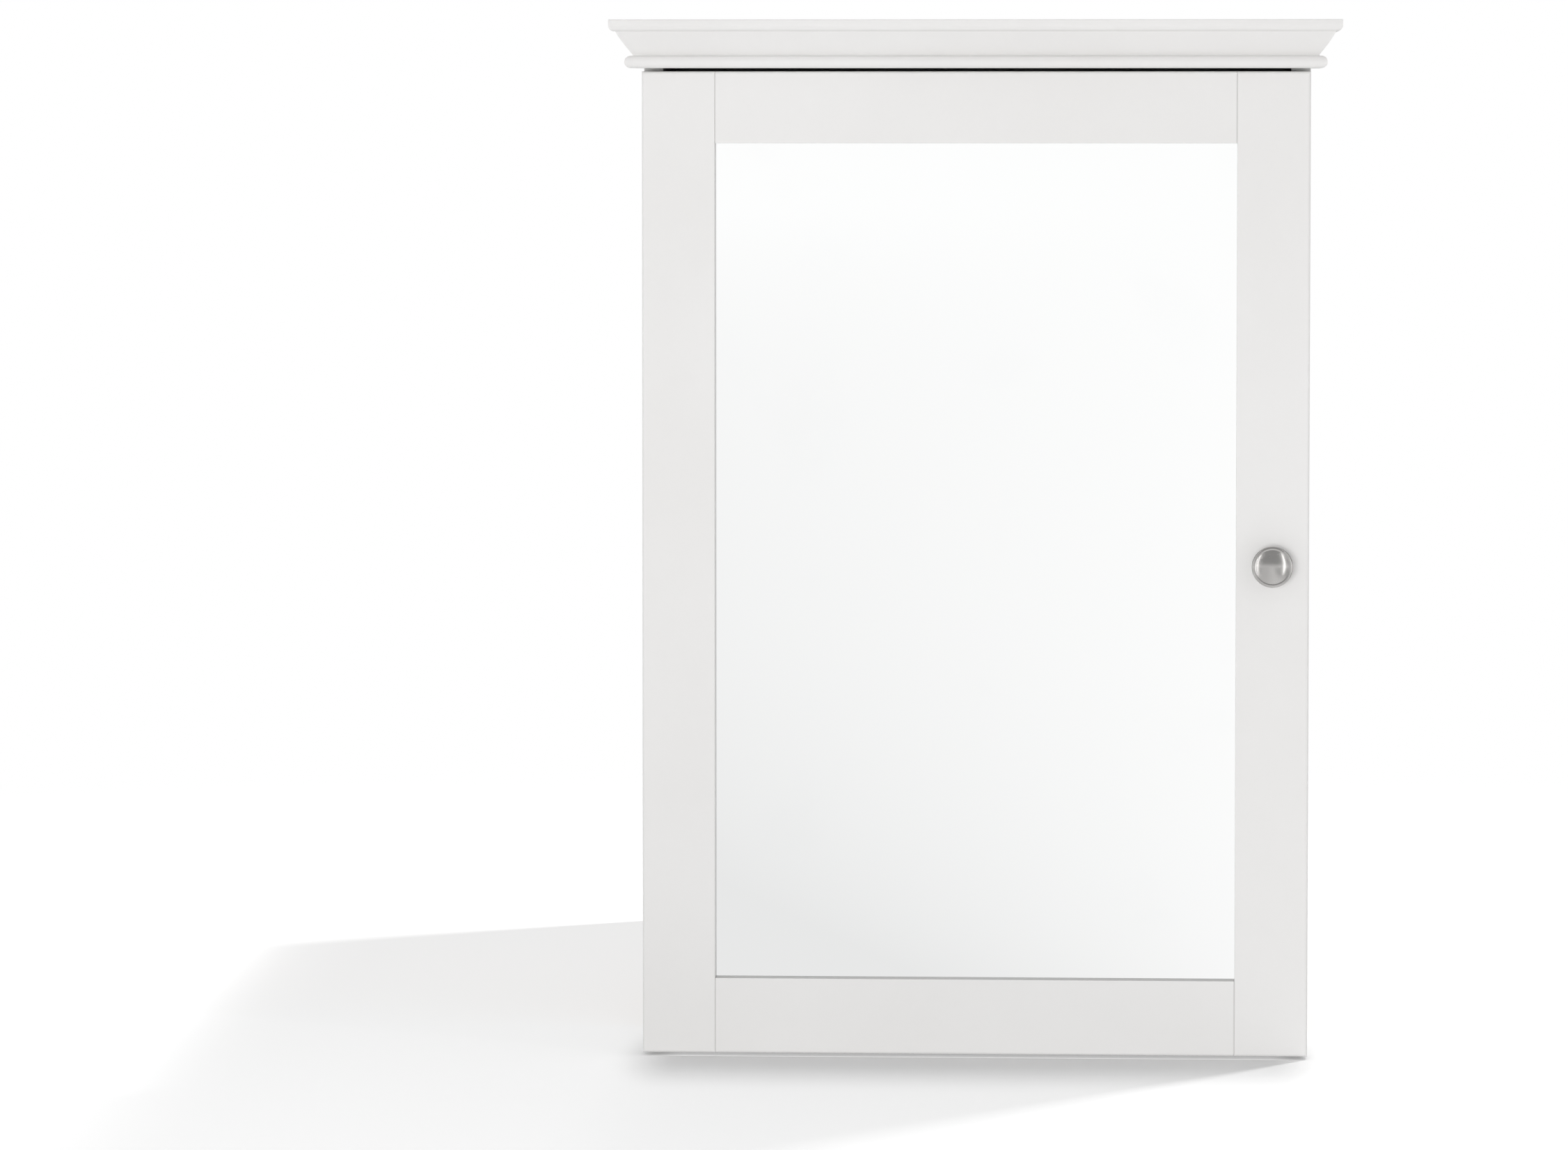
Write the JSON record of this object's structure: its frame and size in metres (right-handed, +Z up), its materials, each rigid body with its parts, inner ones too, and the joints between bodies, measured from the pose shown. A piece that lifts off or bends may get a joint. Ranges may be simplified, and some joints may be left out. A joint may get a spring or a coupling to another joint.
{
  "type": "mirror cabinet",
  "caption": "White wall-hung mirror cabinet: framed mirror door on concealed hinges, round knob, crown cornice, shelves inside.",
  "frame": {"origin": "centre of the four wall-screw holes, on the wall plane behind the cabinet", "axes": "+X towards the knob side, +Y into the wall, so -Y faces the room, +Z up"},
  "size_m": [0.56, 0.197, 0.798],
  "materials": {
    "white_paint": "satin white paint on board",
    "beech": "bare beech",
    "hardboard": "bare hardboard",
    "mirror_glass": "silvered float glass",
    "nickel_steel": "nickel plated steel",
    "zinc": "die-cast zinc",
    "satin_nickel": "satin nickel",
    "white_plastic": "moulded",
    "ferrite": "sintered ferrite",
    "clear_rubber": "soft translucent"
  },
  "bodies": {
    "carcass": {"left_side_panel": "white_paint", "right_side_panel": "white_paint", "top_panel": "white_paint", "bottom_panel": "white_paint", "back_panel": "white_paint", "upper_hanging_rail": "beech", "lower_hanging_rail": "beech", "crown_front": "white_paint", "crown_left_return": "white_paint", "crown_right_return": "white_paint", "top_cap": "white_paint", "front_cap_batten": "beech", "rear_cap_batten": "beech", "upper_shelf": "white_paint", "lower_shelf": "white_paint", "shelf_pins": "nickel_steel", "cam_locks": "zinc", "cam_bolts": "nickel_steel", "assembly_dowels": "beech", "upper_hinge_arm": "nickel_steel", "lower_hinge_arm": "nickel_steel", "upper_hinge_plate": "nickel_steel", "lower_hinge_plate": "nickel_steel", "hinge_plate_screws": "nickel_steel", "hinge_arm_screws": "nickel_steel", "catch_housing": "white_plastic", "catch_magnet": "ferrite", "catch_poles": "nickel_steel", "catch_screws": "nickel_steel"},
    "door": {"left_stile": "white_paint", "right_stile": "white_paint", "top_rail": "white_paint", "bottom_rail": "white_paint", "mirror_glass": "mirror_glass", "mirror_backing": "hardboard", "left_backing_bead": "white_paint", "right_backing_bead": "white_paint", "top_backing_bead": "white_paint", "bottom_backing_bead": "white_paint", "upper_hinge_cup": "zinc", "lower_hinge_cup": "zinc", "upper_hinge_pin": "nickel_steel", "lower_hinge_pin": "nickel_steel", "hinge_cup_screws": "nickel_steel", "knob": "satin_nickel", "knob_screw": "nickel_steel", "strike_plate": "nickel_steel", "strike_screws": "nickel_steel", "door_bumpers": "clear_rubber"}
  },
  "joints": [
    {"name": "door_swing", "type": "hinge", "parent": "carcass", "child": "door", "pos_m": [-0.248, -0.1615, 0], "axis": [0, 0, -1], "range_deg": [0, 100]}
  ]
}
